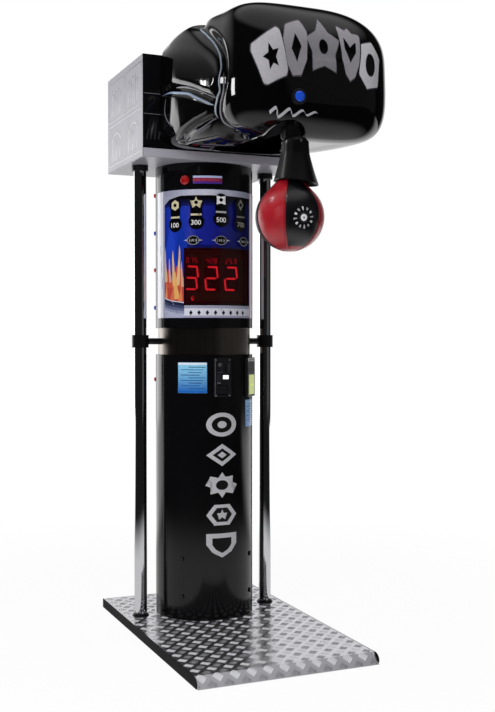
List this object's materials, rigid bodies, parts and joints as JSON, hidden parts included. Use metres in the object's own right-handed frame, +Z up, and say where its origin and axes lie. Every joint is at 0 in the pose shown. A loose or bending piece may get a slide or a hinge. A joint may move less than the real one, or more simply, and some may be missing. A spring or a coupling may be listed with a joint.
{
  "type": "boxing arcade machine",
  "caption": "Strength tester: a leather strike ball hangs from a giant moulded boxing glove on a round column with display, coin entry and tread plate base.",
  "frame": {"origin": "on the floor under the column's axis, at the middle foot", "axes": "+Z up; -Y is the front with the glove and the ball; +X is to the right of a player who faces the machine, and the fist reaches further on that side"},
  "size_m": [0.7171, 1.192, 2.2196],
  "materials": {
    "tread": "embossed tread plate",
    "frame_steel": "satin",
    "trim_black": "satin",
    "rubber": "matt",
    "column_black": "gloss",
    "inner_steel": "satin",
    "stainless": "polished",
    "chrome": "mirror",
    "header_print": "gloss",
    "display_print": "gloss",
    "lens": "smoked gloss",
    "zinc": "zinc plated",
    "circuit_board": "satin",
    "led_red": "lit",
    "speaker_black": "matt",
    "lamp_red": "clear",
    "lamp_blue": "clear",
    "card_print": "printed",
    "coin_black": "satin",
    "coin_grey": "satin",
    "coin_white": "lit",
    "note_black": "satin",
    "note_lit": "lit",
    "cash_grey": "satin",
    "supply_case": "satin",
    "inlet_black": "matt",
    "brace_black": "satin",
    "head_grey": "gloss",
    "head_black": "gloss",
    "glove_black": "gel coat",
    "bezel_black": "gloss",
    "button_blue": "lit",
    "switch_grey": "matt",
    "bracket_steel": "satin",
    "bronze": "machined",
    "shaft_steel": "ground",
    "arm_steel": "satin",
    "boot_leather": "semi-gloss",
    "ball_leather": "semi-gloss",
    "latch_steel": "zinc plated",
    "solenoid_yellow": "satin",
    "sensor_blue": "satin"
  },
  "bodies": {
    "machine": {"tread_plate": "tread", "base_frame": "frame_steel", "edge_trims": "trim_black", "rubber_feet": "rubber", "column_foot": "inner_steel", "lower_tube_front": "column_black", "lower_tube_rear": "column_black", "band_sleeve": "stainless", "upper_tube": "column_black", "header_cover": "header_print", "display_panel": "display_print", "display_window": "lens", "panel_brackets": "zinc", "display_board": "circuit_board", "led_digits": "led_red", "main_board": "circuit_board", "speaker": "speaker_black", "side_lamps_red": "lamp_red", "side_lamps_blue": "lamp_blue", "instruction_cards": "card_print", "door_frame": "inner_steel", "coin_plate": "coin_black", "coin_mech": "coin_grey", "coin_window": "coin_white", "note_acceptor": "note_black", "note_mouth": "note_lit", "cash_box": "cash_grey", "cash_shelf": "zinc", "power_supply": "supply_case", "mains_inlet": "inlet_black", "left_pole": "chrome", "right_pole": "chrome", "pole_braces": "brace_black", "pole_sockets": "brace_black", "column_bolts": "brace_black", "head_floor": "head_grey", "head_front_panel": "head_black", "head_shell": "head_grey", "glove_shell": "glove_black", "button_bezel": "bezel_black", "button_switch": "switch_grey", "arm_bracket": "bracket_steel", "bearings": "bronze", "stop_bumper": "rubber", "latch_bracket": "bracket_steel", "solenoid": "solenoid_yellow", "swing_sensor": "sensor_blue"},
    "arm": {"arm_shaft": "shaft_steel", "arm": "arm_steel", "boot": "boot_leather", "ball": "ball_leather"},
    "start_button": {"start_button": "button_blue"},
    "rear_door": {"rear_door": "column_black"},
    "rear_door_cam": {"rear_door_cam": "zinc"},
    "head_rear_door": {"head_rear_door": "head_grey"},
    "head_door_cam": {"head_door_cam": "zinc"},
    "reject_button": {"reject_button": "chrome"},
    "return_flap": {"return_flap": "coin_grey"},
    "latch_hook": {"latch_hook": "latch_steel"},
    "solenoid_plunger": {"solenoid_plunger": "shaft_steel"}
  },
  "joints": [
    {"name": "arm_swing", "type": "hinge", "parent": "machine", "child": "arm", "pos_m": [0, -0.78, 1.868], "axis": [1, 0, 0], "range_deg": [-10, 85]},
    {"name": "start_button_press", "type": "slide", "parent": "machine", "child": "start_button", "axis": [0, 1, 0], "range_m": [0, 0.004], "stiffness_N_per_m": 500, "springref_m": -0.002},
    {"name": "rear_door_swing", "type": "hinge", "parent": "machine", "child": "rear_door", "pos_m": [0.12252, 0.15681, 0.64], "axis": [0, 0, -1], "range_deg": [0, 105]},
    {"name": "rear_door_lock", "type": "hinge", "parent": "rear_door", "child": "rear_door_cam", "pos_m": [-0.08329, 0.17077, 0.64], "axis": [0.4384, -0.8988, 0], "range_deg": [0, 90]},
    {"name": "head_rear_door_swing", "type": "hinge", "parent": "machine", "child": "head_rear_door", "pos_m": [0.313, 0.263, 1.949], "axis": [0, 0, -1], "range_deg": [0, 100]},
    {"name": "head_rear_door_lock", "type": "hinge", "parent": "head_rear_door", "child": "head_door_cam", "pos_m": [-0.27, 0.257, 1.949], "axis": [0, -1, 0], "range_deg": [0, 90]},
    {"name": "reject_button_press", "type": "slide", "parent": "machine", "child": "reject_button", "axis": [0, 1, 0], "range_m": [0, 0.004], "stiffness_N_per_m": 400, "springref_m": -0.002},
    {"name": "return_flap_swing", "type": "hinge", "parent": "machine", "child": "return_flap", "pos_m": [0, -0.193, 0.92], "axis": [1, 0, 0], "range_deg": [0, 55]},
    {"name": "latch_swing", "type": "hinge", "parent": "machine", "child": "latch_hook", "pos_m": [0.027, -0.812, 1.946], "axis": [1, 0, 0], "range_deg": [-16, 0], "stiffness_Nm_per_rad": 0.4, "springref_deg": 14.32},
    {"name": "plunger_slide", "type": "slide", "parent": "machine", "child": "solenoid_plunger", "axis": [0, 0, 1], "range_m": [-0.009, 0]}
  ],
  "couplings": [
    {"joint": "plunger_slide", "follows": "latch_swing", "m_per_rad": 0.0322}
  ]
}
